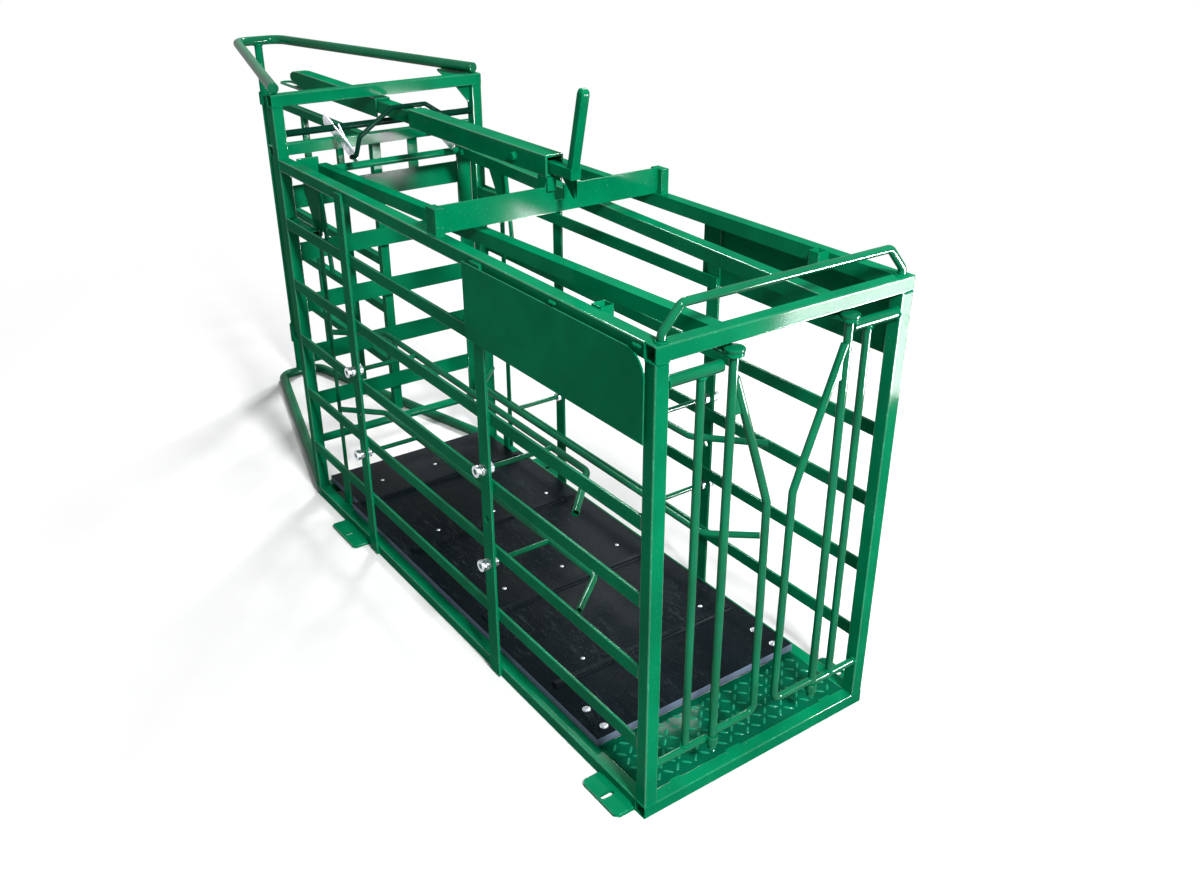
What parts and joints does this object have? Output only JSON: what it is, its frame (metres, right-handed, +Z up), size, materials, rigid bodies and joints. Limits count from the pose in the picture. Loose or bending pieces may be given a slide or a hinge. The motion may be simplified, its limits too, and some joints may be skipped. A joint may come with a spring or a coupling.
{
  "type": "sheep drafting crate",
  "caption": "Welded box-tube livestock crate with floor, side bars, squeeze bars, swinging head jaws, sliding rear gate, drafting leaf and a lever bar on top.",
  "frame": {"origin": "on the ground under the middle of the whole outline", "axes": "+X to the front end with the jaws, +Y to the far side, +Z up"},
  "size_m": [2.515, 0.702, 1.2783],
  "materials": {
    "green_paint": "gloss green paint with a light orange-peel texture",
    "dark_paint": "dark green gloss paint",
    "zinc": "bright zinc plate",
    "black_board": "black-faced board, scuffed"
  },
  "bodies": {
    "crate": {"near_front_post": "green_paint", "near_rear_post": "green_paint", "near_mid_post_rear": "green_paint", "near_mid_post_front": "green_paint", "near_top_rail": "green_paint", "near_bottom_rail": "green_paint", "near_side_bar_a": "green_paint", "near_side_bar_b": "green_paint", "near_side_bar_c": "green_paint", "near_side_bar_d": "green_paint", "near_side_bar_e": "green_paint", "near_side_panel": "green_paint", "near_upper_bush_rear": "zinc", "near_upper_bush_front": "zinc", "near_lower_bush_rear": "zinc", "near_lower_bush_front": "zinc", "near_front_wing": "green_paint", "near_tie": "green_paint", "far_front_post": "green_paint", "far_rear_post": "green_paint", "far_mid_post_rear": "green_paint", "far_mid_post_front": "green_paint", "far_top_rail": "green_paint", "far_bottom_rail": "green_paint", "far_side_bar_a": "green_paint", "far_side_bar_b": "green_paint", "far_side_bar_c": "green_paint", "far_side_bar_d": "green_paint", "far_side_bar_e": "green_paint", "far_side_panel": "green_paint", "far_upper_bush_rear": "zinc", "far_upper_bush_front": "zinc", "far_lower_bush_rear": "zinc", "far_lower_bush_front": "zinc", "far_front_wing": "green_paint", "far_tie": "green_paint", "front_top_beam": "green_paint", "front_bottom_beam": "green_paint", "rear_crossbar": "green_paint", "floor_board": "black_board", "tread_plate": "green_paint", "inner_rail_frame": "green_paint", "bridge": "green_paint", "lever_sleeve": "green_paint", "upper_nose_frame": "green_paint", "lower_nose_frame": "green_paint", "nose_post": "green_paint", "gate_track": "green_paint", "front_hoop": "green_paint"},
    "long_bar": {"lever_bar": "green_paint", "rear_channel": "green_paint"},
    "yoke": {"cross_shaft": "dark_paint"},
    "gate": {"rear_gate": "green_paint"},
    "leaf": {"drafting_leaf": "green_paint"},
    "near_jaw_body": {"near_jaw": "green_paint"},
    "near_upper_squeeze": {"near_upper_squeeze_bar": "green_paint"},
    "near_lower_squeeze": {"near_lower_squeeze_bar": "green_paint"},
    "far_jaw_body": {"far_jaw": "green_paint"},
    "far_upper_squeeze": {"far_upper_squeeze_bar": "green_paint"},
    "far_lower_squeeze": {"far_lower_squeeze_bar": "green_paint"}
  },
  "joints": [
    {"name": "lever_slide", "type": "slide", "parent": "crate", "child": "long_bar", "axis": [1, 0, 0], "range_m": [0, 0.12]},
    {"name": "yoke_lift", "type": "hinge", "parent": "crate", "child": "yoke", "pos_m": [-0.3545, 0, 1.059], "axis": [0, -1, 0], "range_deg": [0, 28]},
    {"name": "gate_slide", "type": "slide", "parent": "crate", "child": "gate", "axis": [0, -1, 0], "range_m": [0, 0.38]},
    {"name": "leaf_hinge", "type": "hinge", "parent": "crate", "child": "leaf", "pos_m": [-1.2395, 0, 0], "axis": [0, 0, 1], "range_deg": [-20, 20]},
    {"name": "near_jaw_hinge", "type": "hinge", "parent": "crate", "child": "near_jaw_body", "pos_m": [1.2385, -0.138, 0], "axis": [0, 0, 1], "range_deg": [0, 80]},
    {"name": "far_jaw_hinge", "type": "hinge", "parent": "crate", "child": "far_jaw_body", "pos_m": [1.2385, 0.138, 0], "axis": [0, 0, -1], "range_deg": [0, 80]},
    {"name": "near_upper_squeeze_slide", "type": "slide", "parent": "crate", "child": "near_upper_squeeze", "axis": [0, -1, 0], "range_m": [0, 0.025]},
    {"name": "near_lower_squeeze_slide", "type": "slide", "parent": "crate", "child": "near_lower_squeeze", "axis": [0, -1, 0], "range_m": [0, 0.025]},
    {"name": "far_upper_squeeze_slide", "type": "slide", "parent": "crate", "child": "far_upper_squeeze", "axis": [0, 1, 0], "range_m": [0, 0.025]},
    {"name": "far_lower_squeeze_slide", "type": "slide", "parent": "crate", "child": "far_lower_squeeze", "axis": [0, 1, 0], "range_m": [0, 0.025]}
  ]
}
